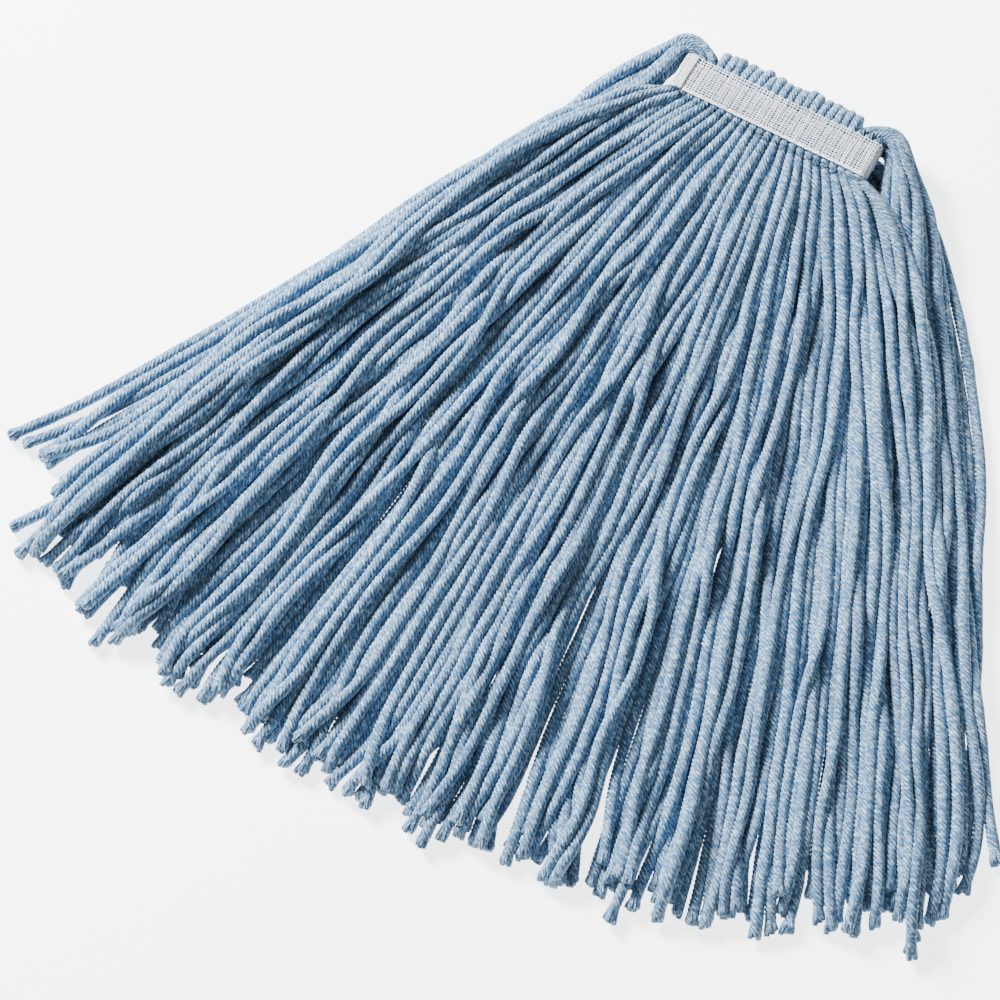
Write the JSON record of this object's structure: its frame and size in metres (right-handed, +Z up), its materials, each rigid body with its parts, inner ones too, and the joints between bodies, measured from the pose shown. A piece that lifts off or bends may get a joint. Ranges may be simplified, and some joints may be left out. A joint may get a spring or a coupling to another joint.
{
  "type": "string mop head",
  "caption": "Cut-end string mop head of soft twisted yarns, sewn across the middle under a narrow mesh headband and spread flat in a fan.",
  "frame": {"origin": "on the surface that the mop lies on, under the middle of the headband's front edge", "axes": "+X along the headband, -Y along the yarns towards their cut ends, +Z up"},
  "size_m": [0.6019, 0.5145, 0.031],
  "materials": {
    "yarn": "soft heathered cotton-blend yarn, pale and mid blue fibres mixed, dull",
    "tape": "open white mesh tape, matt",
    "thread": "white sewing thread, slight sheen"
  },
  "bodies": {
    "headband": {"headband_tape": "tape", "headband_end_fold": "tape", "seam_front": "thread", "seam_rear": "thread", "sewn_yarns_left_end": "yarn", "sewn_yarns_middle_1": "yarn", "sewn_yarns_middle_2": "yarn", "sewn_yarns_middle_3": "yarn", "sewn_yarns_middle_4": "yarn", "sewn_yarns_right_end": "yarn"},
    "front_yarns": {"front_yarns_01": "yarn", "front_yarns_02": "yarn", "front_yarns_03": "yarn", "front_yarns_04": "yarn", "front_yarns_05": "yarn", "front_yarns_06": "yarn", "front_yarns_07": "yarn", "front_yarns_08": "yarn", "front_yarns_09": "yarn", "front_yarns_10": "yarn", "front_yarns_11": "yarn", "front_yarns_12": "yarn", "front_yarns_13": "yarn", "front_yarns_14": "yarn", "front_yarns_15": "yarn", "front_yarns_16": "yarn", "front_yarns_17": "yarn", "front_yarns_18": "yarn", "front_yarns_19": "yarn", "front_yarns_20": "yarn", "front_yarns_21": "yarn", "front_yarns_22": "yarn", "front_yarns_23": "yarn", "front_yarns_24": "yarn", "front_yarns_25": "yarn"},
    "rear_yarns": {"rear_yarns_01": "yarn", "rear_yarns_02": "yarn", "rear_yarns_03": "yarn", "rear_yarns_04": "yarn", "rear_yarns_05": "yarn", "rear_yarns_06": "yarn", "rear_yarns_07": "yarn", "rear_yarns_08": "yarn", "rear_yarns_09": "yarn", "rear_yarns_10": "yarn", "rear_yarns_11": "yarn", "rear_yarns_12": "yarn", "rear_yarns_13": "yarn", "rear_yarns_14": "yarn", "rear_yarns_15": "yarn", "rear_yarns_16": "yarn", "rear_yarns_17": "yarn", "rear_yarns_18": "yarn", "rear_yarns_19": "yarn", "rear_yarns_20": "yarn", "rear_yarns_21": "yarn", "rear_yarns_22": "yarn", "rear_yarns_23": "yarn", "rear_yarns_24": "yarn", "rear_yarns_25": "yarn"}
  },
  "joints": [
    {"name": "front_swing", "type": "hinge", "parent": "headband", "child": "front_yarns", "pos_m": [0, -0.003, 0.0305], "axis": [-1, 0, 0], "range_deg": [0, 150]},
    {"name": "rear_swing", "type": "hinge", "parent": "headband", "child": "rear_yarns", "pos_m": [0, 0.0398, 0.0126], "axis": [1, 0, 0], "range_deg": [0, 180]}
  ]
}
